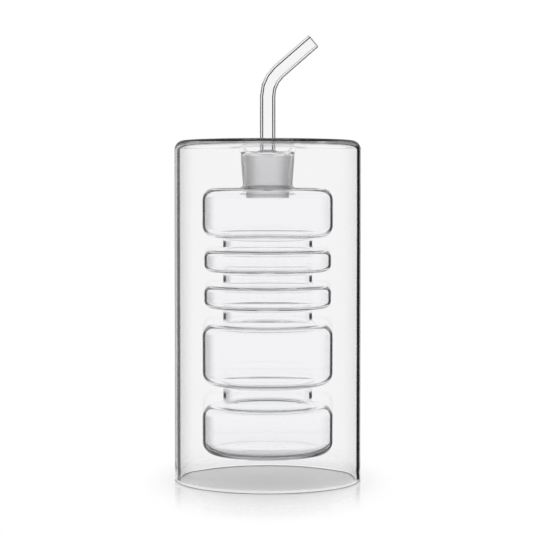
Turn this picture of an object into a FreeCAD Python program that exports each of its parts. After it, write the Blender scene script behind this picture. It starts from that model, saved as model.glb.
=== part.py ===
import FreeCAD, Part
import math
import os

# Clear glass oil bottle: a ringed inner vessel hangs in an open-bottomed cylinder, and a ground-glass
# stopper closes it and ends in a bent pour spout. Millimetres, +Z up. The origin is the middle of the
# circle that the bottle stands on, the bottle's axis is Z, and the spout points along +X. Every glass
# section is a revolved wall, except the spout, which is a bent tube.

# Outer cylinder: a straight tube, open at the bottom, that stands on its fire-polished rim
CYLINDER_DIAMETER = 95.0
CYLINDER_WALL = 2.0
RIM_FLARE = 0.3
RIM_FLARE_HEIGHT = 5.0
RIM_ROUNDING = 0.8

# Crown: the flat top of the bottle, which rolls over at the edge and down into the mouth
CROWN_TOP_HEIGHT = 173.5
CROWN_WALL = 2.2
CROWN_EDGE_ROUNDING = 4.8
CROWN_SKIRT = 4.0
MOUTH_LIP_ROUNDING = 5.0
CROWN_TO_NECK_FILLET = 6.0
CROWN_NECK_STUB = 0.8

# Ground joint: the taper that the stopper and the neck share
GROUND_DIAMETER = 24.0
GROUND_TAPER = 0.1
GROUND_TOP_DEPTH = 7.5
GROUND_CLEARANCE = 0.05
NECK_TOP_WALL = 1.6

# Inner vessel: chambers and rings blown from one width of tube, with waists between them
VESSEL_FLOOR_HEIGHT = 13.6
VESSEL_WALL = 1.4
VESSEL_FLOOR_WALL = 2.0
FLOOR_DIMPLE_DIAMETER = 28.0
FLOOR_DIMPLE_RISE = 0.7
FLOOR_DIMPLE_ROUNDING = 60.0
CHAMBER_DIAMETER = 67.0
CHAMBER_ROUNDING = 6.2
RING_DIAMETER = 65.2
RING_ROUNDING = 3.7
WAIST_DIAMETER = 45.6
WAIST_FILLET = 2.4
NECK_FOOT_FILLET = 2.0

# Heights of the vessel's sections and of the waists between them, from the bottom up
BASE_CHAMBER_HEIGHT = 25.1
BASE_WAIST_HEIGHT = 10.3
MIDDLE_CHAMBER_HEIGHT = 31.0
MIDDLE_WAIST_HEIGHT = 8.2
LOWER_RING_HEIGHT = 11.5
RING_WAIST_HEIGHT = 7.0
UPPER_RING_HEIGHT = 11.1
UPPER_WAIST_HEIGHT = 6.3
UPPER_CHAMBER_HEIGHT = 25.3

# Stopper: a hollow ground cone whose shoulder closes in to the spout's tube
STOPPER_WALL = 1.4
STOPPER_REACH_BELOW_NECK = 4.7
STOPPER_END_ROUNDING = 0.5
SHOULDER_RISE = 5.4
SHOULDER_ROUNDING = 1.6
SHOULDER_FILLET = 3.0
STOPPER_STUB = 2.4

# Pour spout: a tube that rises on the axis and then bends to one side
SPOUT_DIAMETER = 8.0
SPOUT_WALL = 1.25
SPOUT_CORNER_ABOVE_CROWN = 30.3
SPOUT_BEND_RADIUS = 17.0
SPOUT_RISE_ANGLE = 41.0
SPOUT_REACH = 30.9
SPOUT_TIP_ROUNDING = 0.45

AXIS_FOOT = FreeCAD.Vector(0, 0, 0)
AXIS_UP = FreeCAD.Vector(0, 0, 1)
SAME_POINT = 1e-6


# Values that follow from the driving dimensions
cylinder_radius = CYLINDER_DIAMETER / 2
cylinder_bore_radius = cylinder_radius - CYLINDER_WALL
crown_underside = CROWN_TOP_HEIGHT - CROWN_WALL
cylinder_seam = CROWN_TOP_HEIGHT - CROWN_EDGE_ROUNDING - CROWN_SKIRT
ground_top = CROWN_TOP_HEIGHT - GROUND_TOP_DEPTH
neck_radius = GROUND_DIAMETER / 2 + NECK_TOP_WALL
neck_seam = crown_underside - CROWN_TO_NECK_FILLET - CROWN_NECK_STUB
waist_radius = WAIST_DIAMETER / 2
chamber_radius = CHAMBER_DIAMETER / 2
ring_radius = RING_DIAMETER / 2
spout_radius = SPOUT_DIAMETER / 2

base_top = VESSEL_FLOOR_HEIGHT + BASE_CHAMBER_HEIGHT
middle_bottom = base_top + BASE_WAIST_HEIGHT
middle_top = middle_bottom + MIDDLE_CHAMBER_HEIGHT
middle_seam = (middle_bottom + middle_top) / 2
lower_ring_bottom = middle_top + MIDDLE_WAIST_HEIGHT
lower_ring_top = lower_ring_bottom + LOWER_RING_HEIGHT
upper_ring_bottom = lower_ring_top + RING_WAIST_HEIGHT
upper_ring_top = upper_ring_bottom + UPPER_RING_HEIGHT
upper_bottom = upper_ring_top + UPPER_WAIST_HEIGHT
upper_top = upper_bottom + UPPER_CHAMBER_HEIGHT
neck_foot = upper_top + NECK_FOOT_FILLET

stopper_end = upper_top - STOPPER_REACH_BELOW_NECK
stopper_seam = ground_top + SHOULDER_RISE + STOPPER_STUB
spout_corner = CROWN_TOP_HEIGHT + SPOUT_CORNER_ABOVE_CROWN


def ground_radius(height):
    """Radius of the ground taper in the neck at a height."""
    return (GROUND_DIAMETER - GROUND_TAPER * (ground_top - height)) / 2


def corner(radius, height, rounding=0.0):
    """One corner of a wall's section, in the plane of the axis, with the radius that rounds it off."""
    return FreeCAD.Vector(radius, 0, height), rounding


def offset_path(path, walls):
    """The other face of a wall: the path moved to its left, each stretch by its own thickness."""
    places = [place for place, _ in path]
    starts, directions = [], []
    for start, end, wall in zip(places, places[1:], walls):
        direction = (end - start).normalize()
        starts.append(start + FreeCAD.Vector(-direction.z, 0, direction.x) * wall)
        directions.append(direction)
    moved = [(starts[0], 0.0)]
    for index in range(1, len(starts)):
        before, after = directions[index - 1], directions[index]
        turn = before.x * after.z - before.z * after.x
        across = starts[index] - starts[index - 1]
        along = (across.x * after.z - across.z * after.x) / turn
        rounding = path[index][1]
        if rounding:
            rounding -= math.copysign(max(walls[index - 1], walls[index]), turn)
        moved.append((starts[index - 1] + before * along, rounding))
    last_length = (places[-1] - places[-2]).Length
    moved.append((starts[-1] + directions[-1] * last_length, 0.0))
    return moved


def rounded_corner(before, here, after, rounding):
    """Where the arc that rounds a corner starts, its middle and where it ends."""
    if not rounding:
        return here, here, here
    back = (before - here).normalize()
    ahead = (after - here).normalize()
    half_angle = back.getAngle(ahead) / 2
    cut = rounding / math.tan(half_angle)
    to_centre = (back + ahead).normalize()
    middle = here + to_centre * (rounding / math.sin(half_angle) - rounding)
    return here + back * cut, middle, here + ahead * cut


def section(corners):
    """Closed wire through the corners, with straight stretches between the arcs that round them."""
    places = [place for place, _ in corners]
    afters = places[1:] + places[:1]
    arcs = []
    for index, (here, rounding) in enumerate(corners):
        arcs.append(rounded_corner(places[index - 1], here, afters[index], rounding))
    edges = []
    for (start, middle, end), (next_start, _, _) in zip(arcs, arcs[1:] + arcs[:1]):
        if start.distanceToPoint(end) > SAME_POINT:
            edges.append(Part.Arc(start, middle, end).toShape())
        if end.distanceToPoint(next_start) > SAME_POINT:
            edges.append(Part.makeLine(end, next_start))
    return Part.Wire(edges)


def revolved(corners):
    """Solid of revolution about the bottle's axis."""
    return Part.Face(section(corners)).revolve(AXIS_FOOT, AXIS_UP, 360)


def blown_section(path, floor_stretches=0):
    """Revolved vessel wall inside a path, whose first stretches may be a floor, which is thicker."""
    side_stretches = len(path) - 1 - floor_stretches
    walls = [VESSEL_FLOOR_WALL] * floor_stretches + [VESSEL_WALL] * side_stretches
    return revolved(path + offset_path(path, walls)[::-1])


def flank_roundings(radius, rounding):
    """Edge rounding and waist fillet of a bulb, both smaller where its flank has no room for them."""
    share = min(1, (radius - waist_radius) / (rounding + WAIST_FILLET))
    return rounding * share, WAIST_FILLET * share


def ring(bottom, top, waist_below, waist_above):
    """A narrow ring between two waists, cut at the middle of each waist."""
    edge, fillet = flank_roundings(ring_radius, RING_ROUNDING)
    return blown_section([
        corner(waist_radius, bottom - waist_below / 2),
        corner(waist_radius, bottom, fillet),
        corner(ring_radius, bottom, edge),
        corner(ring_radius, top, edge),
        corner(waist_radius, top, fillet),
        corner(waist_radius, top + waist_above / 2),
    ])


def outer_cylinder():
    """Straight tube with a slightly flared rim, rounded at both edges around a narrow flat land."""
    return revolved([
        corner(cylinder_bore_radius, 0, RIM_ROUNDING),
        corner(cylinder_radius + RIM_FLARE, 0, RIM_ROUNDING),
        corner(cylinder_radius, RIM_FLARE_HEIGHT),
        corner(cylinder_radius, cylinder_seam),
        corner(cylinder_bore_radius, cylinder_seam),
    ])


def crown():
    """Flat top with its rolled edge, its lip and the top of the ground socket."""
    return revolved([
        corner(ground_radius(neck_seam), neck_seam),
        corner(neck_radius, neck_seam),
        corner(neck_radius, crown_underside, CROWN_TO_NECK_FILLET),
        corner(cylinder_bore_radius, crown_underside, CROWN_EDGE_ROUNDING - CYLINDER_WALL),
        corner(cylinder_bore_radius, cylinder_seam),
        corner(cylinder_radius, cylinder_seam),
        corner(cylinder_radius, CROWN_TOP_HEIGHT, CROWN_EDGE_ROUNDING),
        corner(ground_radius(ground_top), CROWN_TOP_HEIGHT, MOUTH_LIP_ROUNDING),
        corner(ground_radius(ground_top), ground_top),
    ])


def neck_socket():
    """Ground socket between the crown and the vessel, wider outside towards the top."""
    return revolved([
        corner(ground_radius(neck_foot), neck_foot),
        corner(ground_radius(neck_foot) + VESSEL_WALL, neck_foot),
        corner(neck_radius, neck_seam),
        corner(ground_radius(neck_seam), neck_seam),
    ])


def upper_chamber():
    """Top chamber, whose roof turns up into the foot of the neck."""
    foot_radius = ground_radius(neck_foot) + VESSEL_WALL
    edge, fillet = flank_roundings(chamber_radius, CHAMBER_ROUNDING)
    return blown_section([
        corner(waist_radius, upper_bottom - UPPER_WAIST_HEIGHT / 2),
        corner(waist_radius, upper_bottom, fillet),
        corner(chamber_radius, upper_bottom, edge),
        corner(chamber_radius, upper_top, CHAMBER_ROUNDING),
        corner(foot_radius, upper_top, NECK_FOOT_FILLET),
        corner(foot_radius, neck_foot),
    ])


def middle_chamber_upper():
    """Upper half of the tall chamber, from the middle of its side to the waist above it."""
    edge, fillet = flank_roundings(chamber_radius, CHAMBER_ROUNDING)
    return blown_section([
        corner(chamber_radius, middle_seam),
        corner(chamber_radius, middle_top, edge),
        corner(waist_radius, middle_top, fillet),
        corner(waist_radius, middle_top + MIDDLE_WAIST_HEIGHT / 2),
    ])


def middle_chamber_lower():
    """Lower half of the tall chamber, from the waist below it to the middle of its side."""
    edge, fillet = flank_roundings(chamber_radius, CHAMBER_ROUNDING)
    return blown_section([
        corner(waist_radius, middle_bottom - BASE_WAIST_HEIGHT / 2),
        corner(waist_radius, middle_bottom, fillet),
        corner(chamber_radius, middle_bottom, edge),
        corner(chamber_radius, middle_seam),
    ])


def base_chamber():
    """Bottom chamber, with a thicker floor that rises a little in the middle."""
    edge, fillet = flank_roundings(chamber_radius, CHAMBER_ROUNDING)
    return blown_section([
        corner(0, VESSEL_FLOOR_HEIGHT + FLOOR_DIMPLE_RISE),
        corner(FLOOR_DIMPLE_DIAMETER / 2, VESSEL_FLOOR_HEIGHT, FLOOR_DIMPLE_ROUNDING),
        corner(chamber_radius, VESSEL_FLOOR_HEIGHT, CHAMBER_ROUNDING),
        corner(chamber_radius, base_top, edge),
        corner(waist_radius, base_top, fillet),
        corner(waist_radius, base_top + BASE_WAIST_HEIGHT / 2),
    ], floor_stretches=2)


def stopper_cone():
    """Hollow ground cone, open below, whose shoulder closes in to a stub of the spout's tube."""
    end_radius = ground_radius(stopper_end) - GROUND_CLEARANCE
    top_radius = ground_radius(ground_top) - GROUND_CLEARANCE
    outside = [
        corner(end_radius, stopper_end),
        corner(top_radius, ground_top, SHOULDER_ROUNDING),
        corner(spout_radius, ground_top + SHOULDER_RISE, SHOULDER_FILLET),
        corner(spout_radius, stopper_seam),
    ]
    inside = offset_path(outside, [STOPPER_WALL, STOPPER_WALL, SPOUT_WALL])
    outside[0] = (outside[0][0], STOPPER_END_ROUNDING)
    inside[0] = corner(end_radius - STOPPER_WALL, stopper_end, STOPPER_END_ROUNDING)
    inside[1] = (inside[1][0], SHOULDER_ROUNDING)
    return revolved(outside + inside[::-1])


def spout_tube(radius, centreline):
    """Solid round bar along the spout's centreline."""
    start = FreeCAD.Vector(0, 0, stopper_seam)
    circle = Part.Wire(Part.makeCircle(radius, start, AXIS_UP))
    return centreline.makePipeShell([circle], True, False)


def pour_spout():
    """Tube that rises on the axis and bends towards +X, with a fire-polished tip."""
    rise = math.radians(SPOUT_RISE_ANGLE)
    along = FreeCAD.Vector(math.cos(rise), 0, math.sin(rise))
    turn = math.radians(90 - SPOUT_RISE_ANGLE)
    knee = FreeCAD.Vector(0, 0, spout_corner)
    tangent = SPOUT_BEND_RADIUS * math.tan(turn / 2)
    bend_start = knee - AXIS_UP * tangent
    bend_end = knee + along * tangent
    bend_centre = bend_start + FreeCAD.Vector(SPOUT_BEND_RADIUS, 0, 0)
    bend_middle = bend_centre + (knee - bend_centre).normalize() * SPOUT_BEND_RADIUS
    tip = knee + along * SPOUT_REACH
    centreline = Part.Wire([
        Part.makeLine(FreeCAD.Vector(0, 0, stopper_seam), bend_start),
        Part.Arc(bend_start, bend_middle, bend_end).toShape(),
        Part.makeLine(bend_end, tip),
    ])
    tube = spout_tube(spout_radius, centreline).cut(spout_tube(spout_radius - SPOUT_WALL, centreline))
    tip_edges = [edge for edge in tube.Edges if abs((edge.CenterOfMass - tip).dot(along)) < SAME_POINT]
    tip_circles = [edge for edge in tip_edges if isinstance(edge.Curve, Part.Circle)]
    return tube.makeFillet(SPOUT_TIP_ROUNDING, tip_circles)


NODES = {
    "outer_cylinder": outer_cylinder(),
    "crown": crown(),
    "neck_socket": neck_socket(),
    "upper_chamber": upper_chamber(),
    "upper_ring": ring(upper_ring_bottom, upper_ring_top, RING_WAIST_HEIGHT, UPPER_WAIST_HEIGHT),
    "lower_ring": ring(lower_ring_bottom, lower_ring_top, MIDDLE_WAIST_HEIGHT, RING_WAIST_HEIGHT),
    "middle_chamber_upper": middle_chamber_upper(),
    "middle_chamber_lower": middle_chamber_lower(),
    "base_chamber": base_chamber(),
    "stopper_cone": stopper_cone(),
    "pour_spout": pour_spout(),
}

os.makedirs("parts", exist_ok=True)
for name, shape in NODES.items():
    shape.exportStep(f"parts/{name}.step")
    box = shape.optimalBoundingBox()
    print(f"{name}: valid {shape.isValid()}, solids {len(shape.Solids)}, {shape.Volume / 1000:.2f} cm3, "
          f"z {box.ZMin:.2f} to {box.ZMax:.2f}, width {box.XLength:.2f}")
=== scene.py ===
# %% [markdown]
# A clear glass oil bottle, seen against a bright background. The CAD model is loaded first and is never
# moved. All the looks are built around it, in metres and in the same frame: +Z is up, the bottle stands
# on z = 0 and its spout points along +X.

# %% Load the CAD frame
import math

import bmesh
import bpy
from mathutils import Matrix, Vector


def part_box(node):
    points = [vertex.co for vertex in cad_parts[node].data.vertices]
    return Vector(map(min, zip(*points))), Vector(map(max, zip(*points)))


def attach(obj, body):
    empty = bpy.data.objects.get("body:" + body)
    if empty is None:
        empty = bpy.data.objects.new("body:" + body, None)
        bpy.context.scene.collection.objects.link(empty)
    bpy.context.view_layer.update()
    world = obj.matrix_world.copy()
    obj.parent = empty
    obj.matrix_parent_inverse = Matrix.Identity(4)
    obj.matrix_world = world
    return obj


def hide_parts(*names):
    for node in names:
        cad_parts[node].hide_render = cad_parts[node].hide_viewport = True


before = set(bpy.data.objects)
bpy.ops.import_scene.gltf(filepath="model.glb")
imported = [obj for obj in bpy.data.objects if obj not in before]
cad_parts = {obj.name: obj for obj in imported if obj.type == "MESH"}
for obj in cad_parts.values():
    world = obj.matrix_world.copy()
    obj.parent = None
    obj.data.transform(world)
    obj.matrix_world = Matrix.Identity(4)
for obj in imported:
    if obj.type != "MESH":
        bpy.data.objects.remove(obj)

scene = bpy.context.scene
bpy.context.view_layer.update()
scene.view_settings.view_transform = "Standard"
MM = 0.001

# %% [markdown]
# Shader and geometry trees both do sums on sockets. Wiring each sum by hand is long and hard to read,
# so one small class wraps a socket and overloads Python's operators: an expression then adds its own
# Math nodes. Every other node comes from one method, which sets the node's options first and its
# sockets after.

# %% Sums on sockets
class Value:
    """One output socket of a node tree, or a tree to add nodes to while it has none."""

    def __init__(self, tree, socket=None):
        self.tree = tree
        self.socket = socket

    def node(self, kind, settings=None, sockets=None, output=0):
        """Adds a node of that type, and gives its output."""
        made = self.tree.nodes.new(kind)
        for name, setting in (settings or {}).items():
            setattr(made, name, setting)
        for name, content in (sockets or {}).items():
            if isinstance(content, Value):
                self.tree.links.new(content.socket, made.inputs[name])
            else:
                made.inputs[name].default_value = content
        return Value(self.tree, made.outputs[output])

    def to(self, node, socket):
        """Links this value to a socket of a node."""
        self.tree.links.new(self.socket, node.inputs[socket])

    def out(self, output):
        """Another output of the node that this value comes from."""
        return Value(self.tree, self.socket.node.outputs[output])

    def math(self, operation, *others):
        return self.node("ShaderNodeMath", {"operation": operation}, dict(enumerate([self, *others])))

    def swapped(self, operation, other):
        return self.node("ShaderNodeMath", {"operation": operation}, {0: other, 1: self})

    def __add__(self, other):
        return self.math("ADD", other)

    def __sub__(self, other):
        return self.math("SUBTRACT", other)

    def __mul__(self, other):
        return self.math("MULTIPLY", other)

    def __truediv__(self, other):
        return self.math("DIVIDE", other)

    def __rsub__(self, other):
        return self.swapped("SUBTRACT", other)

    def __rtruediv__(self, other):
        return self.swapped("DIVIDE", other)

    __radd__ = __add__
    __rmul__ = __mul__

    def step(self, low, high):
        """Rises smoothly from 0 at low to 1 at high."""
        sockets = {"Value": self, "From Min": low, "From Max": high}
        return self.node("ShaderNodeMapRange", {"interpolation_type": "SMOOTHSTEP"}, sockets)

    def band(self, start, full, fade, end):
        """Rises from 0 at start to 1 at full, and falls from 1 at fade to 0 at end."""
        return self.step(start, full) * (1 - self.step(fade, end))


print("sums on sockets are ready")

# %% [markdown]
# The glass is thin, so what shows is the course of its walls. These are the sizes of the walls, in
# millimetres, the same as in the CAD model. Heights that a node's box already gives are read from the
# frame instead.

# %% Sizes of the glass
CYLINDER_RADIUS = 47.5
CYLINDER_WALL = 2.0
RIM_FLARE = 0.3
RIM_FLARE_HEIGHT = 5.0
RIM_ROUNDING = 0.8
CROWN_WALL = 2.2
CROWN_EDGE_ROUNDING = 4.8
MOUTH_LIP_ROUNDING = 5.0
CROWN_TO_NECK_FILLET = 6.0
GROUND_RADIUS = 12.0
GROUND_SLOPE = 0.05
GROUND_TOP_DEPTH = 7.5
GROUND_CLEARANCE = 0.05
NECK_RADIUS = 13.6
VESSEL_WALL = 1.4
VESSEL_FLOOR_WALL = 2.0
FLOOR_DIMPLE_RADIUS = 14.0
FLOOR_DIMPLE_RISE = 0.7
CHAMBER_ROUNDING = 6.2
RING_ROUNDING = 3.7
WAIST_RADIUS = 22.8
WAIST_FILLET = 2.4
NECK_FOOT_FILLET = 2.0
BULB_HEIGHTS = {
    "base_chamber": 25.1,
    "middle_chamber": 31.0,
    "lower_ring": 11.5,
    "upper_ring": 11.1,
    "upper_chamber": 25.3,
}
WAIST_HEIGHTS = [10.3, 8.2, 7.0, 6.3]


def low(node):
    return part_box(node)[0][2] / MM


def high(node):
    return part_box(node)[1][2] / MM


def radius(node):
    """Half of a node's size along Y, along which the bent spout has no reach."""
    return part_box(node)[1][1] / MM


crown_top = high("crown")
neck_seam = high("neck_socket")
neck_foot = low("neck_socket")
base_top = low("base_chamber") + BULB_HEIGHTS["base_chamber"]
ground_top = crown_top - GROUND_TOP_DEPTH
stopper_end = low("stopper_cone")
stopper_seam = high("stopper_cone")
print(f"crown {crown_top:.2f}, ground joint {stopper_end:.2f} to {ground_top:.2f} mm")

# %% [markdown]
# Every wall here is a turned shape: one outline, swept about the axis. The outline is a chain of
# corners, and each corner is rounded by its own radius, as a glass worker's flame would leave it.
# Straight stretches get a point every few millimetres, so that the slight unevenness added later has
# something to move.

# %% Outline helpers
ARC_STEP = math.radians(11)
STRAIGHT_STEP = 5.0


def ground_radius(height):
    """Radius of the ground taper at a height."""
    return GROUND_RADIUS - GROUND_SLOPE * (ground_top - height)


def arc_points(before, here, after, rounding):
    """Points of the arc that rounds a corner."""
    back = (before - here).normalized()
    ahead = (after - here).normalized()
    half_angle = back.angle(ahead) / 2
    cut = rounding / math.tan(half_angle)
    centre = here + (back + ahead).normalized() * (rounding / math.sin(half_angle))
    start = here + back * cut - centre
    turn = ahead.angle_signed(-back)
    steps = max(2, math.ceil(abs(turn) / ARC_STEP))
    points = []
    for index in range(steps + 1):
        angle = turn * index / steps
        swung = Vector((
            start.x * math.cos(angle) - start.y * math.sin(angle),
            start.x * math.sin(angle) + start.y * math.cos(angle),
        ))
        points.append(centre + swung)
    return points


def rounded_outline(corners, closed=False):
    """Points (radius, height) along a chain of corners, each given as radius, height and rounding."""
    places = [Vector(corner[:2]) for corner in corners]
    count = len(places)
    chain = []
    for index, (_, _, rounding) in enumerate(corners):
        at_end = not closed and index in (0, count - 1)
        if rounding and not at_end:
            chain += arc_points(places[index - 1], places[index], places[(index + 1) % count], rounding)
        else:
            chain.append(places[index])
    points = []
    followers = chain[1:] + (chain[:1] if closed else [])
    for start, end in zip(chain, followers):
        steps = max(1, math.ceil((end - start).length / STRAIGHT_STEP))
        points += [start.lerp(end, index / steps) for index in range(steps)]
    return points if closed else points + [chain[-1]]


print(f"arcs turn {math.degrees(ARC_STEP):.0f} degrees a step, straights run {STRAIGHT_STEP} mm a step")

# %% [markdown]
# The bottle's outline runs from the axis to the axis: from the middle of the vessel's floor up its
# inside through the waists, over the mouth and the crown, down the outer cylinder to the rim, up inside
# it, and down the outside of the vessel to the underside of its floor. On the real bottle all of this
# is one fused wall, so one outline gives glass with no false seams in it.

# %% Outline of the bottle
def vessel_corners(inside):
    """Corners of the vessel's side from its floor up to the neck, on its outer or its inner face."""
    wall = VESSEL_WALL if inside else 0.0
    chamber_radius = radius("base_chamber")
    ring_radius = radius("upper_ring")
    bottom = low("base_chamber")
    corners = []
    for index, (node, height) in enumerate(BULB_HEIGHTS.items()):
        is_ring = node.endswith("ring")
        side = (ring_radius if is_ring else chamber_radius) - wall
        rounding = (RING_ROUNDING if is_ring else CHAMBER_ROUNDING) - wall
        floor = VESSEL_FLOOR_WALL if inside and index == 0 else wall
        if index:
            corners.append((WAIST_RADIUS - wall, bottom + floor, WAIST_FILLET + wall))
        corners.append((side, bottom + floor, rounding))
        corners.append((side, bottom + height - wall, rounding))
        if index < len(WAIST_HEIGHTS):
            corners.append((WAIST_RADIUS - wall, bottom + height - wall, WAIST_FILLET + wall))
            bottom += height + WAIST_HEIGHTS[index]
        else:
            foot = ground_radius(neck_foot) + VESSEL_WALL - wall
            corners.append((foot, bottom + height - wall, NECK_FOOT_FILLET + wall))
    return corners


def bottle_outline():
    floor = low("base_chamber")
    bore = CYLINDER_RADIUS - CYLINDER_WALL
    underside = crown_top - CROWN_WALL
    inner_floor = floor + VESSEL_FLOOR_WALL
    corners = [(0, inner_floor + FLOOR_DIMPLE_RISE, 0), (FLOOR_DIMPLE_RADIUS, inner_floor, 60)]
    corners += vessel_corners(inside=True)
    corners += [
        (ground_radius(neck_foot), neck_foot, 0),
        (ground_radius(ground_top), ground_top, 0),
        (ground_radius(ground_top), crown_top, MOUTH_LIP_ROUNDING),
        (CYLINDER_RADIUS, crown_top, CROWN_EDGE_ROUNDING),
        (CYLINDER_RADIUS, RIM_FLARE_HEIGHT, 0),
        (CYLINDER_RADIUS + RIM_FLARE, 0, RIM_ROUNDING),
        (bore, 0, RIM_ROUNDING),
        (bore, underside, CROWN_EDGE_ROUNDING - CYLINDER_WALL),
        (NECK_RADIUS, underside, CROWN_TO_NECK_FILLET),
        (NECK_RADIUS, neck_seam, 0),
        (ground_radius(neck_foot) + VESSEL_WALL, neck_foot, 0),
    ]
    corners += vessel_corners(inside=False)[::-1]
    corners += [(FLOOR_DIMPLE_RADIUS, floor, 60), (0, floor + FLOOR_DIMPLE_RISE, 0)]
    return rounded_outline(corners)


bottle_points = bottle_outline()
print(f"bottle outline: {len(bottle_points)} points, widest {max(p.x for p in bottle_points):.2f} mm")

# %% [markdown]
# The stopper is turned too: a hollow ground cone whose shoulder closes in to a thin tube. The tube is
# drawn straight and bent afterwards, over a flame, and the model does the same: its outline is
# straight, and a rule in the geometry tree bends it.

# %% Outline of the stopper with its spout still straight
STOPPER_WALL = 1.4
STOPPER_END_ROUNDING = 0.5
SHOULDER_RISE = 5.4
SHOULDER_ROUNDING = 1.6
SHOULDER_FILLET = 3.0
SPOUT_WALL = 1.25
SPOUT_CORNER_ABOVE_CROWN = 30.3
SPOUT_BEND_RADIUS = 17.0
SPOUT_RISE_ANGLE = 41.0
SPOUT_REACH = 30.9
SPOUT_TIP_ROUNDING = 0.5

spout_turn = math.radians(90 - SPOUT_RISE_ANGLE)
bend_cut = SPOUT_BEND_RADIUS * math.tan(spout_turn / 2)
bend_start = crown_top + SPOUT_CORNER_ABOVE_CROWN - bend_cut
straight_top = bend_start + SPOUT_BEND_RADIUS * spout_turn + SPOUT_REACH - bend_cut


def stopper_outline():
    """Closed outline: up the outside from the cone's end to the spout's tip, and down the inside."""
    tube = radius("pour_spout")
    bore = tube - SPOUT_WALL
    end = ground_radius(stopper_end) - GROUND_CLEARANCE
    top = ground_radius(ground_top) - GROUND_CLEARANCE
    shoulder_top = ground_top + SHOULDER_RISE
    slope = math.atan2(SHOULDER_RISE, top - tube)
    drop = STOPPER_WALL / math.cos(slope)
    inner_top = top - STOPPER_WALL
    inner_shoulder = ground_top + (top - inner_top) * math.tan(slope) - drop
    inner_shoulder_top = ground_top + (top - bore) * math.tan(slope) - drop
    return rounded_outline([
        (end, stopper_end, STOPPER_END_ROUNDING),
        (top, ground_top, SHOULDER_ROUNDING),
        (tube, shoulder_top, SHOULDER_FILLET),
        (tube, straight_top, SPOUT_TIP_ROUNDING),
        (bore, straight_top, SPOUT_TIP_ROUNDING),
        (bore, inner_shoulder_top, SHOULDER_FILLET + SPOUT_WALL),
        (inner_top, inner_shoulder, SHOULDER_ROUNDING),
        (end - STOPPER_WALL, stopper_end, STOPPER_END_ROUNDING),
    ], closed=True)


stopper_points = stopper_outline()
straight_length = straight_top - stopper_end
print(f"stopper outline: {len(stopper_points)} points, {straight_length:.1f} mm long before the bend")

# %% [markdown]
# A lathe in Geometry Nodes: the outline is a curve, and Curve to Mesh sweeps it round a circle. The
# spout's bend is a rule on each point's height: below the bend it stays, in the bend it swings about
# the bend's centre, and past it, it runs straight on. Glass that is worked by hand is never quite true,
# so two slow waves of noise move the walls by about a tenth of a millimetre. Both faces of a wall move
# together, because the noise is wide next to the wall. It fades out towards the rim, which stands true
# on the table.

# %% The lathe tree
PATH_RADIUS = 10 * MM
WELD_DISTANCE = 0.002 * MM
TRUE_RIM_HEIGHT = 30 * MM
SLOW_WAVE = 45 * MM
QUICK_WAVE = 14 * MM


def add_input(tree, name, kind):
    tree.interface.new_socket(name, in_out="INPUT", socket_type=kind)


def bent(maths, place, inputs):
    """Where a point of the straight shape lies once the tube is bent towards +X."""
    along = place.node("ShaderNodeSeparateXYZ", sockets={"Vector": place})
    x, y, z = along, along.out("Y"), along.out("Z")
    start, size, turn = (inputs.out(name) for name in ("Bend Start", "Bend Radius", "Bend Angle"))
    past_start = (z - start).math("MAXIMUM", 0.0)
    angle = (past_start / size).math("MINIMUM", turn)
    past_bend = (past_start - size * turn).math("MAXIMUM", 0.0)
    sine, cosine = angle.math("SINE"), angle.math("COSINE")
    new_x = size * (1 - cosine) + past_bend * sine + x * cosine
    new_z = z.math("MINIMUM", start) + size * sine + past_bend * cosine - x * sine
    return maths.node("ShaderNodeCombineXYZ", sockets={"X": new_x, "Y": y, "Z": new_z})


def wave(maths, place, size, amount, seed):
    """Slow noise, amount wide across the axis and half of that along it."""
    scale = (1 / size, 1 / size, 0.6 / size)
    scaled = maths.node("ShaderNodeVectorMath", {"operation": "MULTIPLY"}, {0: place, 1: scale})
    noise = maths.node(
        "ShaderNodeTexNoise", {"noise_dimensions": "4D"},
        {"Vector": scaled, "W": seed, "Scale": 1.0, "Detail": 1.0}, output="Color",
    )
    middle = (0.5, 0.5, 0.5)
    centred = maths.node("ShaderNodeVectorMath", {"operation": "SUBTRACT"}, {0: noise, 1: middle})
    spread = maths.node("ShaderNodeCombineXYZ", sockets={"X": amount, "Y": amount, "Z": amount * 0.5})
    return maths.node("ShaderNodeVectorMath", {"operation": "MULTIPLY"}, {0: centred, 1: spread})


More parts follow.
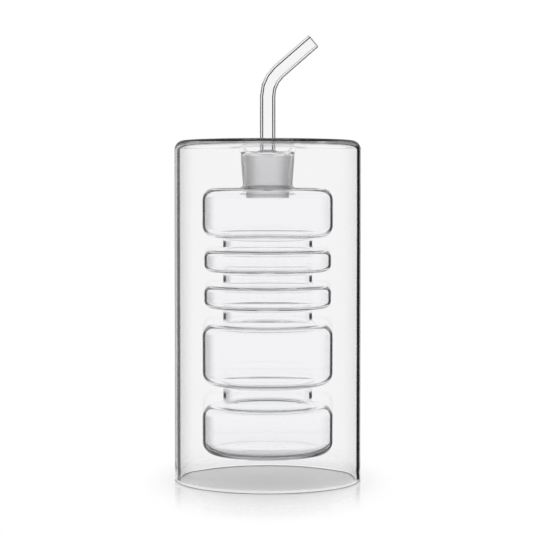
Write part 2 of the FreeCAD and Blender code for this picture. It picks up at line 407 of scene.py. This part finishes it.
def lathe_tree():
    tree = bpy.data.node_groups.new("glass_lathe", "GeometryNodeTree")
    add_input(tree, "Outline", "NodeSocketGeometry")
    add_input(tree, "Segments", "NodeSocketInt")
    for name in ("Bend Start", "Bend Radius", "Bend Angle", "Unevenness", "Seed"):
        add_input(tree, name, "NodeSocketFloat")
    add_input(tree, "Glass", "NodeSocketMaterial")
    tree.interface.new_socket("Geometry", in_out="OUTPUT", socket_type="NodeSocketGeometry")
    maths = Value(tree)
    inputs = maths.node("NodeGroupInput", output="Outline")
    circle = maths.node(
        "GeometryNodeCurvePrimitiveCircle",
        sockets={"Resolution": inputs.out("Segments"), "Radius": PATH_RADIUS},
    )
    turned = maths.node("GeometryNodeCurveToMesh", sockets={"Curve": circle, "Profile Curve": inputs})
    welded = maths.node(
        "GeometryNodeMergeByDistance", sockets={"Geometry": turned, "Distance": WELD_DISTANCE}
    )
    place = maths.node("GeometryNodeInputPosition")
    height = maths.node("ShaderNodeSeparateXYZ", sockets={"Vector": place}).out("Z")
    amount = inputs.out("Unevenness") * height.step(0.0, TRUE_RIM_HEIGHT)
    seed = inputs.out("Seed")
    slow = wave(maths, place, SLOW_WAVE, amount, seed)
    quick = wave(maths, place, QUICK_WAVE, amount * 0.3, seed + 7.0)
    uneven = maths.node("ShaderNodeVectorMath", {"operation": "ADD"}, {0: slow, 1: quick})
    waved = maths.node("GeometryNodeSetPosition", sockets={"Geometry": welded, "Offset": uneven})
    bowed = maths.node(
        "GeometryNodeSetPosition", sockets={"Geometry": waved, "Position": bent(maths, place, inputs)}
    )
    smooth = maths.node("GeometryNodeSetShadeSmooth", sockets={"Geometry": bowed})
    coated = maths.node(
        "GeometryNodeSetMaterial", sockets={"Geometry": smooth, "Material": inputs.out("Glass")}
    )
    real = maths.node("GeometryNodeRealizeInstances", sockets={"Geometry": coated})
    real.to(tree.nodes.new("NodeGroupOutput"), "Geometry")
    return tree


lathe = lathe_tree()
print(f"lathe tree: {len(lathe.nodes)} nodes")

# %% [markdown]
# The tree's inputs are set on a modifier by each socket's identifier. The result is then copied out as
# a plain mesh, and its faces are turned outwards, which is safe here because each piece is one closed
# skin.

# %% Turn a piece
def turned_piece(name, points, closed, glass, segments, unevenness, seed, bend):
    curve = bpy.data.curves.new(name + "_outline", "CURVE")
    spline = curve.splines.new("POLY")
    spline.points.add(len(points) - 1)
    for point, place in zip(spline.points, points):
        point.co = (place.x * MM - PATH_RADIUS, -place.y * MM, 0, 1)
    spline.use_cyclic_u = closed
    blank = bpy.data.objects.new(name + "_blank", curve)
    scene.collection.objects.link(blank)
    modifier = blank.modifiers.new("lathe", "NODES")
    modifier.node_group = lathe
    settings = {"Segments": segments, "Unevenness": unevenness * MM, "Seed": seed, "Glass": glass}
    settings.update(bend)
    for socket in lathe.interface.items_tree:
        if socket.name in settings:
            modifier[socket.identifier] = settings[socket.name]
    view = bpy.context.evaluated_depsgraph_get()
    mesh = bpy.data.meshes.new_from_object(blank.evaluated_get(view))
    bpy.data.objects.remove(blank)
    mesh.name = name
    work = bmesh.new()
    work.from_mesh(mesh)
    bmesh.ops.recalc_face_normals(work, faces=work.faces)
    if work.calc_volume(signed=True) < 0:
        bmesh.ops.reverse_faces(work, faces=work.faces)
    open_edges = sum(1 for edge in work.edges if not edge.is_manifold)
    volume = work.calc_volume() / MM ** 3 / 1000
    print(f"{name}: {len(work.faces)} faces, {open_edges} open edges, {volume:.1f} cm3 of glass")
    work.to_mesh(mesh)
    work.free()
    piece = bpy.data.objects.new(name, mesh)
    scene.collection.objects.link(piece)
    return piece


print("pieces can be turned")

# %% [markdown]
# A shader knows a few things about the point it colours: where it is, which way the surface faces
# there, how far the surface is turned from the ray that meets it, and whether the ray comes through air
# or through the glass. They are gathered once, under plain names, and every mask of the finish is
# written with them. Layer Weight's Facing is 0 where a ray meets the surface head-on, and 1 where it
# only grazes it.

# %% Facts about a point of the glass
class Surface:
    """What a glass shader knows about a point: lengths in millimetres, and masks from 0 to 1."""

    def __init__(self, tree):
        self.maths = Value(tree)
        self.place = self.maths.node("ShaderNodeTexCoord", output="Object")
        along = self.maths.node("ShaderNodeSeparateXYZ", sockets={"Vector": self.place})
        self.x = along / MM
        self.y = along.out("Y") / MM
        self.z = along.out("Z") / MM
        self.from_axis = (self.x * self.x + self.y * self.y).math("SQRT")
        # The limits of these three lie between the upright walls of neck, waists, bulbs and cylinder.
        self.off_neck = self.from_axis.step(15, 17)
        self.on_waist = 1 - self.from_axis.step(24, 26)
        self.on_cylinder = self.from_axis.step(40, 42)
        self.spout_side = (self.x / self.from_axis).step(-0.6, 0.6)
        normal = self.maths.node("ShaderNodeSeparateXYZ", sockets={"Vector": self.place.out("Normal")})
        self.faces_out = (normal * self.x + normal.out("Y") * self.y).step(-1.0, 1.0)
        self.tilt = normal.out("Z").math("ABSOLUTE")
        self.down = normal.out("Z") * -1
        self.from_inside = self.maths.node("ShaderNodeNewGeometry", output="Backfacing")
        self.from_air = 1 - self.from_inside
        self.grazing = self.maths.node("ShaderNodeLayerWeight", sockets={"Blend": 0.5}, output="Facing")


def strongest(first, *others):
    """The largest of several masks."""
    for other in others:
        first = first.math("MAXIMUM", other)
    return first


def mixed(mask, below, above):
    """One shader with another over it where the mask is 1."""
    return mask.node("ShaderNodeMixShader", sockets={0: mask, 1: below, 2: above})


def blended(mask, below, above):
    """One colour with another over it where the mask is 1."""
    return mask.node(
        "ShaderNodeMix", {"data_type": "RGBA"}, {"Factor": mask, "A": below, "B": above}, output="Result"
    )


print("facts about the glass are ready")

# %% [markdown]
# A thin glass wall is almost invisible where it is seen face-on. Where it is seen edge-on, its inner
# face throws the light back into the wall, where it runs on and is lost, so a bottle in front of a
# bright background is drawn by fine dark lines. Dark cards at the sides of the studio would draw them
# for one camera only. Here they are painted shade instead: a matt dark tone is mixed over the glass at
# the angles where a wall of this index throws the light back, so the lines are there from every side.
# They are painted deeper on the spout's side, a painted light direction that turns with the bottle, and
# paler where a chamber turns under, which is how the photograph has them.

# %% Painted shade lines of the upright walls
WAIST_LINE_FULL = 0.8
WAIST_LINE_END = 2.5


def at_waist_middle(surface):
    """1 off the waists, and on them near half height, where a real, hollowed waist is upright."""
    middles = []
    bottom = low("base_chamber")
    for bulb_height, waist_height in zip(BULB_HEIGHTS.values(), WAIST_HEIGHTS):
        middles.append(bottom + bulb_height + waist_height / 2)
        bottom += bulb_height + waist_height
    reaches = [(surface.z - middle).math("ABSOLUTE") for middle in middles]
    near = strongest(*(1 - reach.step(WAIST_LINE_FULL, WAIST_LINE_END) for reach in reaches))
    return 1 - surface.on_waist * (1 - near)


def painted_side_line(surface):
    """Painted shade on an inner upright face, met from inside at about the angle of total reflection."""
    # A painted shade line, painted deeper on the spout's side and paler where a chamber turns under.
    start = 0.256 + surface.on_cylinder * (0.012 * surface.spout_side - 0.006)
    end = 0.28 - surface.on_cylinder * (0.01 - 0.009 * surface.spout_side)
    between = (surface.grazing - start).step(0.0, 0.01) * (1 - (surface.grazing - end).step(0.0, 0.014))
    level = surface.tilt.step(0.85, 0.97)
    sloping = level + surface.on_waist * (surface.tilt.step(0.15, 0.5) - level)
    depth = 1 - 0.15 * surface.on_cylinder * (1 - surface.spout_side)
    above_base = surface.z.step(base_top - 10, base_top - 4)
    turned_under = surface.down.step(0.4, 0.8) * (0.4 + 0.35 * above_base)
    return between * depth * (1 - sloping) * (1 - turned_under) * surface.faces_out


def side_shade(surface):
    """The soft shade next to that line, which is deeper on the side away from the spout."""
    depth = (0.4 - 0.28 * surface.spout_side) * (1 - 0.6 * surface.on_cylinder)
    upright = 1 - surface.tilt.step(0.15, 0.45)
    return surface.grazing.step(0.17, 0.26) * depth * upright * surface.faces_out


def painted_dark_reflection(surface):
    """Painted reflection of the room's dark on an upright wall's outer face, just inside its outline."""
    # A painted dark reflection, painted deeper on the spout's side.
    vessel_depth = (0.88 + 0.1 * surface.spout_side) * (1 - surface.on_cylinder)
    cylinder_depth = 0.95 * surface.on_cylinder * surface.spout_side
    depth = vessel_depth + cylinder_depth
    upright = 1 - surface.tilt.step(0.3, 0.6)
    wider = 0.05 * surface.on_waist
    edge = (surface.grazing + wider).step(0.69, 0.75) * (1 - (surface.grazing - wider).step(0.82, 0.88))
    return edge * depth * upright * surface.faces_out


print("lines of the upright walls are ready")

# %% [markdown]
# The roofs and floors of the chambers are seen almost edge-on from the side, and painted shade draws
# them as flat dark ellipses. The crown's rolled edge is thicker glass, and hand work leaves it a little
# uneven, so its painted shade line is broad and varies along the edge. A slow noise on the object's
# own coordinates does that.

# %% Painted shade lines of the level walls and the crown
EDGE_SPOT_SCALE = 120.0


def painted_level_line(surface):
    """Painted shade on the roofs and floors of the chambers."""
    return 0.5 * surface.grazing.band(0.285, 0.31, 0.33, 0.4) * surface.tilt.step(0.5, 0.8)


def painted_crown_line(surface):
    """Painted shade where light runs along inside the flat crown."""
    return 0.3 * surface.grazing.step(0.3, 0.6) * surface.z.step(ground_top - 1, ground_top + 2)


def painted_crown_edge(surface):
    """Painted shade on the crown's rolled edge, which bends light down into the wall, more in places."""
    spots = surface.maths.node(
        "ShaderNodeTexNoise", sockets={"Vector": surface.place, "Scale": EDGE_SPOT_SCALE, "Detail": 2.0}
    )
    depth = 0.22 + 0.2 * spots.step(0.4, 0.6)
    turned_in = surface.tilt.step(0.4, 0.75) * surface.on_cylinder
    return depth * turned_in * surface.z.step(ground_top, ground_top + 2)


print("lines of the level walls are ready")

# %% [markdown]
# The neck is clear outside and ground inside, and painted shade greys its sides; the fillet at its foot
# bends light away and is painted darker. Where the rim touches the table, a thin dark line of painted
# shadow runs along its lowest edge. All the masks are then joined: some are met from inside the glass,
# and the others from the air.

# %% Painted shade of the neck and painted shadow under the rim
def painted_neck_shade(surface):
    """Painted shade at the sides of the clear neck, where the ground face behind looks grey."""
    beside_ground = surface.z.band(neck_foot - 1, neck_foot, ground_top - 2, ground_top + 1)
    return 0.5 * surface.grazing.step(0.45, 0.75) * beside_ground * (1 - surface.off_neck)


def painted_foot_shade(surface):
    """Painted shade on the fillet at the neck's foot."""
    ring = surface.from_axis.band(12.4, 12.9, 14.2, 15.0)
    at_foot = surface.z.band(neck_foot - 6, neck_foot - 5, neck_foot, neck_foot + 2)
    return 0.55 * ring * at_foot * surface.tilt.step(0.25, 0.6)


def painted_rim_shadow(surface):
    """Painted shadow: a dark line on the rim's lowest edge, where it stands on the table."""
    return 0.8 * (1 - surface.z.step(0.1, 0.4))


def bottle_painted_shade(surface):
    # All the painted shade and painted shadow of the bottle, joined.
    waist_middle = at_waist_middle(surface)
    sides = strongest(painted_side_line(surface) * waist_middle, side_shade(surface))
    level = strongest(painted_level_line(surface), painted_crown_line(surface), painted_crown_edge(surface))
    inside = strongest(sides, level) * surface.off_neck
    edges = painted_dark_reflection(surface) * waist_middle * surface.off_neck
    outside = strongest(edges, painted_neck_shade(surface), painted_foot_shade(surface), painted_rim_shadow(surface))
    return strongest(inside * surface.from_inside, outside * surface.from_air)


print("dark lines of the bottle are ready")

# %% [markdown]
# The spout is a thin tube with a thick wall, so its painted shade line is wider and lies further in.
# Under the bent run that line is painted paler, standing for the table lighting the glass from below.
# The cut tip was melted smooth, and a dark ring of painted shade marks it. The cone has no such lines,
# because it is ground.

# %% Painted shade lines of the spout
def spout_painted_shade(surface):
    # Painted shade along the tube, painted paler underneath, and a painted dark ring at the tip.
    depth = 1 - 0.7 * surface.down.step(0.2, 0.5)
    side = depth * surface.grazing.band(0.16, 0.19, 0.26, 0.32)
    rise = math.radians(SPOUT_RISE_ANGLE)
    tip = (crown_top + SPOUT_CORNER_ABOVE_CROWN) * math.sin(rise) + SPOUT_REACH
    along_spout = surface.x * math.cos(rise) + surface.z * math.sin(rise)
    at_tip = 0.35 * along_spout.step(tip - 0.8, tip - 0.3)
    on_cone = surface.z.band(stopper_end - 1, stopper_end, ground_top + 1, ground_top + 3)
    return strongest(side * surface.from_inside, at_tip) * (1 - on_cone)


print("dark lines of the spout are ready")

# %% [markdown]
# Clear borosilicate glass has almost no colour and an index of about 1.47. The tube it was drawn from
# leaves faint upright streaks, here in the tint and as a slight ripple: a noise that is stretched along
# the axis.

# %% Clear glass
GLASS_INDEX = 1.473
STREAK_SCALE = (110.0, 110.0, 9.0)
CLEAR_TINT = (0.994, 0.994, 0.998, 1.0)
STREAK_TINT = (0.988, 0.988, 0.993, 1.0)


def clear_glass(surface):
    maths = surface.maths
    stretched = maths.node(
        "ShaderNodeVectorMath", {"operation": "MULTIPLY"}, {0: surface.place, 1: STREAK_SCALE}
    )
    streaks = maths.node(
        "ShaderNodeTexNoise", sockets={"Vector": stretched, "Scale": 1.0, "Detail": 2.0}
    )
    ripple = maths.node(
        "ShaderNodeBump", sockets={"Height": streaks * 0.004, "Strength": 0.5, "Distance": MM}
    )
    return maths.node("ShaderNodeBsdfPrincipled", sockets={
        "Base Color": blended(streaks, CLEAR_TINT, STREAK_TINT), "Normal": ripple,
        "Roughness": 0.0, "IOR": GLASS_INDEX, "Transmission Weight": 1.0,
    })


print(f"clear glass: index {GLASS_INDEX}")

# %% [markdown]
# Where the stopper seats, both faces were ground with fine grit: a rough, grainy glass. It is painted
# greyer where it curves away, and greyest at the sides of the cone's end, which hangs free below the
# neck: painted shade, with the grit's own random tone in it.

# %% Ground glass
GRIT_SCALE = 2600.0
GROUND_WHITE = (1.0, 1.0, 1.0, 1.0)
GROUND_PAINTED_SHADE = (0.75, 0.75, 0.75, 1.0)
CONE_END_PAINTED_SHADE = (0.3, 0.3, 0.3, 1.0)
GROUND_BAND_DEPTH = 0.35


def ground_glass(surface):
    maths = surface.maths
    grit = maths.node(
        "ShaderNodeTexNoise", sockets={"Vector": surface.place, "Scale": GRIT_SCALE, "Detail": 2.0}
    )
    # Painted shade: grey where the surface turns from the view and below the neck, varied by the grit.
    below_neck = 1 - surface.z.step(neck_foot - 3, neck_foot - 1.5)
    painted_shade_with_grit = strongest(surface.grazing.step(0.06, 0.3), below_neck) * (0.7 + 0.3 * grit)
    painted_end_shade = 0.8 * below_neck * surface.grazing.step(0.1, 0.5)
    chalk_and_painted_shade = blended(painted_end_shade, blended(painted_shade_with_grit, GROUND_WHITE, GROUND_PAINTED_SHADE), CONE_END_PAINTED_SHADE)
    grain = maths.node(
        "ShaderNodeBump", sockets={"Height": grit * 0.03, "Strength": 0.5, "Distance": MM}
    )
    return maths.node("ShaderNodeBsdfPrincipled", sockets={
        "Base Color": chalk_and_painted_shade, "Normal": grain, "Roughness": 0.24 + 0.12 * grit,
        "IOR": GLASS_INDEX, "Transmission Weight": 0.95,
    })


def ground_band(surface, lowest, highest):
    """The ground taper between two heights."""
    taper = GROUND_RADIUS - GROUND_SLOPE * (ground_top - surface.z)
    away = (surface.from_axis - taper).math("ABSOLUTE")
    near = 1 - away.step(GROUND_BAND_DEPTH * 0.8, GROUND_BAND_DEPTH)
    return near * surface.z.band(lowest - 0.3, lowest + 0.3, highest - 0.3, highest)


print(f"ground glass: within {GROUND_BAND_DEPTH} mm of the taper")

# %% [markdown]
# At the cylinder's fire-polished rim, light that ran down inside the wall comes out again, so the rim
# is bright; here that is a painted highlight. The spout's outermost edge mirrors the backdrop behind
# it, and gets a painted highlight too. Both are matt tones, as the painted dark lines are, mixed over
# the glass by their masks. The two loose pieces share these finishes, but not the places where they
# lie: the bottle has the painted bright rim and the ground socket, and the stopper has the ground cone
# and the spout's painted lines.

# %% Glass of the bottle and of the stopper
# The tones of the painted shade and of the painted highlights.
PAINTED_SHADE_TONE = (0.01, 0.01, 0.012)
PAINTED_HIGHLIGHT_TONE = (0.98, 0.98, 0.98)


def painted_light_tone(surface, tone):
    """A matt shader of one tone, a painted shade or a painted highlight, only seen through the masks."""
    return surface.maths.node(
        "ShaderNodeBsdfPrincipled", sockets={"Base Color": (*tone, 1.0), "Specular IOR Level": 0.0}
    )


def painted_spout_highlight(surface):
    """Painted highlight on the outermost edge of the spout, for the bright backdrop that it mirrors."""
    above_cone = surface.z.step(ground_top + 3, ground_top + 6)
    return 0.6 * surface.grazing.step(0.5, 0.75) * above_cone * surface.from_air


def painted_rim_highlight(surface):
    """Painted highlight: the bright band of the cylinder's rim, on its outer face."""
    head_on = 1 - surface.grazing.step(0.7, 0.9)
    return 0.85 * surface.z.band(0.3, 0.6, 1.3, 2.1) * head_on * surface.faces_out * surface.from_air


def new_material(name):
    """An empty material."""
    material = bpy.data.materials.new(name)
    material.use_nodes = True
    material.node_tree.nodes.clear()
    return material


def finish_material(material, shader):
    shader.to(material.node_tree.nodes.new("ShaderNodeOutputMaterial"), "Surface")
    return material


def bottle_glass():
    material = new_material("bottle_glass")
    surface = Surface(material.node_tree)
    # Painted shade lines, then the ground socket, then the rim's painted highlight.
    walls = mixed(bottle_painted_shade(surface), clear_glass(surface), painted_light_tone(surface, PAINTED_SHADE_TONE))
    socket = mixed(ground_band(surface, neck_foot - 1.5, ground_top), walls, ground_glass(surface))
    return finish_material(material, mixed(painted_rim_highlight(surface), socket, painted_light_tone(surface, PAINTED_HIGHLIGHT_TONE)))


def stopper_glass():
    material = new_material("stopper_glass")
    surface = Surface(material.node_tree)
    # Painted shade lines, then the ground cone, then the spout's painted highlight.
    tube = mixed(spout_painted_shade(surface), clear_glass(surface), painted_light_tone(surface, PAINTED_SHADE_TONE))
    cone = mixed(ground_band(surface, stopper_end + 0.3, ground_top - 0.5), tube, ground_glass(surface))
    return finish_material(material, mixed(painted_spout_highlight(surface), cone, painted_light_tone(surface, PAINTED_HIGHLIGHT_TONE)))


glass_of_bottle = bottle_glass()
glass_of_stopper = stopper_glass()
for glass in (glass_of_bottle, glass_of_stopper):
    print(f"{glass.name}: {len(glass.node_tree.nodes)} nodes")

# %% [markdown]
# The two loose pieces of the real object are two meshes. The bottle is one closed wall, and the stopper
# is another, with its spout. The stopper rides on the spout's body, which both lifts with the cone and
# turns.

# %% Bottle and stopper
NO_BEND = {"Bend Start": 1.0, "Bend Radius": 1.0, "Bend Angle": 0.0}
SPOUT_BEND = {
    "Bend Start": bend_start * MM, "Bend Radius": SPOUT_BEND_RADIUS * MM, "Bend Angle": spout_turn,
}

bottle = turned_piece(
    "bottle_glass_wall", bottle_points, closed=False, glass=glass_of_bottle,
    segments=160, unevenness=0.16, seed=3.0, bend=NO_BEND,
)
stopper = turned_piece(
    "stopper_with_spout", stopper_points, closed=True, glass=glass_of_stopper,
    segments=96, unevenness=0.05, seed=11.0, bend=SPOUT_BEND,
)
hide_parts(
    "outer_cylinder", "crown", "neck_socket", "upper_chamber", "upper_ring", "lower_ring",
    "middle_chamber_upper", "middle_chamber_lower", "base_chamber",
)
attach(bottle, "bottle")
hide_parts("stopper_cone", "pour_spout")
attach(stopper, "spout")

# %% [markdown]
# Glass is lit by what stands behind it, so the studio is a plain white world all round, which the
# camera sees as the white background. Through the glass it is a little dimmer, as a backdrop is next to
# the lamp that lights it. What the polished faces mirror is dimmer still, because a room is darker than
# its backdrop.

# %% Studio
BACKDROP_LIGHT = 0.95
MIRRORED_LIGHT = 0.3


def studio_world():
    world = bpy.data.worlds.new("studio")
    world.use_nodes = True
    tree = world.node_tree
    background = tree.nodes["Background"]
    background.inputs["Color"].default_value = (1.0, 1.0, 1.0, 1.0)
    paths = Value(tree).node("ShaderNodeLightPath", output="Is Glossy Ray")
    through = paths.out("Is Transmission Ray")
    mirrored = paths * paths.out("Is Singular Ray") * (1 - through)
    light = 1 - mirrored * (1 - MIRRORED_LIGHT) - through * (1 - BACKDROP_LIGHT)
    light.to(background, "Strength")
    return world


scene.world = studio_world()
print(f"studio: white, {BACKDROP_LIGHT} through glass, {MIRRORED_LIGHT} in mirrors")

# %% [markdown]
# The bottle stands on a pale, slightly glossy table, which shows a faint reflection and the shade
# inside the open cylinder. Away from the bottle the table melts into the white background. A hard edge
# or a horizon would show through the glass, so the table turns transparent there, and it does so sooner
# at the sides than in front.

# %% Table
TABLE_SIZE = 2.0
TABLE_COLOUR = (0.92, 0.92, 0.925, 1.0)
SIDE_NARROWING = 1.9
FADE_START = 56 * MM
FADE_END_SEEN = 130 * MM
FADE_END_THROUGH_GLASS = 80 * MM


def table_material():
    material = new_material("pale_table")
    maths = Value(material.node_tree)
    place = maths.node("ShaderNodeTexCoord", output="Object")
    distance = maths.node("ShaderNodeVectorMath", {"operation": "LENGTH"}, {0: place}, output="Value")
    narrowed = maths.node(
        "ShaderNodeVectorMath", {"operation": "MULTIPLY"}, {0: place, 1: (SIDE_NARROWING, 1.0, 1.0)}
    )
    reach = maths.node("ShaderNodeVectorMath", {"operation": "LENGTH"}, {0: narrowed}, output="Value")
    seen_direct = maths.node("ShaderNodeLightPath", output="Is Camera Ray")
    fade_direct = reach.step(FADE_START, FADE_END_SEEN)
    fade_through = distance.step(FADE_START, FADE_END_THROUGH_GLASS)
    fade = fade_through + seen_direct * (fade_direct - fade_through)
    near = maths.node(
        "ShaderNodeBsdfPrincipled", sockets={"Base Color": TABLE_COLOUR, "Roughness": 0.12, "IOR": 2.2}
    )
    away = maths.node("ShaderNodeBsdfTransparent")
    return finish_material(material, mixed(fade, near, away))


def make_table():
    half = TABLE_SIZE / 2
    mesh = bpy.data.meshes.new("table")
    corners = [(-half, -half, 0), (half, -half, 0), (half, half, 0), (-half, half, 0)]
    mesh.from_pydata(corners, [], [(0, 1, 2, 3)])
    mesh.materials.append(table_material())
    table = bpy.data.objects.new("table", mesh)
    scene.collection.objects.link(table)
    return table


print("stands on:", make_table().name)

# %% [markdown]
# The camera stands where the photograph's did. The cylinder's sides are almost parallel and its rims
# are flat ellipses, so it was far away and little higher than the middle of the bottle. A long lens
# gives that, and a slight downward tilt puts the bottle in the frame.

# %% Camera
PHOTO_WIDTH = 533
FOCAL_PIXELS = 1808
SENSOR_WIDTH = 36.0
CAMERA_DISTANCE = 0.924
CAMERA_HEIGHT = 0.146
CAMERA_TILT = 2.28
CAMERA_SIDE = -0.0006

camera_data = bpy.data.cameras.new("camera")
camera_data.sensor_width = SENSOR_WIDTH
camera_data.lens = SENSOR_WIDTH * FOCAL_PIXELS / PHOTO_WIDTH
camera_data.clip_end = 20
camera = bpy.data.objects.new("camera", camera_data)
camera.location = (CAMERA_SIDE, -CAMERA_DISTANCE, CAMERA_HEIGHT)
camera.rotation_euler = (math.radians(90 - CAMERA_TILT), 0, 0)
scene.collection.objects.link(camera)
scene.camera = camera
print(f"camera: {camera_data.lens:.0f} mm lens, {CAMERA_DISTANCE} m away")

# %% [markdown]
# A ray that crosses the bottle meets eight or more faces of glass, and many more where it is thrown
# back inside a wall. With Blender's usual limits such rays would end black, so more bounces are
# allowed.

# %% Light paths
GLASS_BOUNCES = 40

scene.cycles.max_bounces = GLASS_BOUNCES
scene.cycles.transmission_bounces = GLASS_BOUNCES
scene.cycles.glossy_bounces = GLASS_BOUNCES
scene.cycles.diffuse_bounces = 8
print(f"light may bounce {GLASS_BOUNCES} times in the glass")
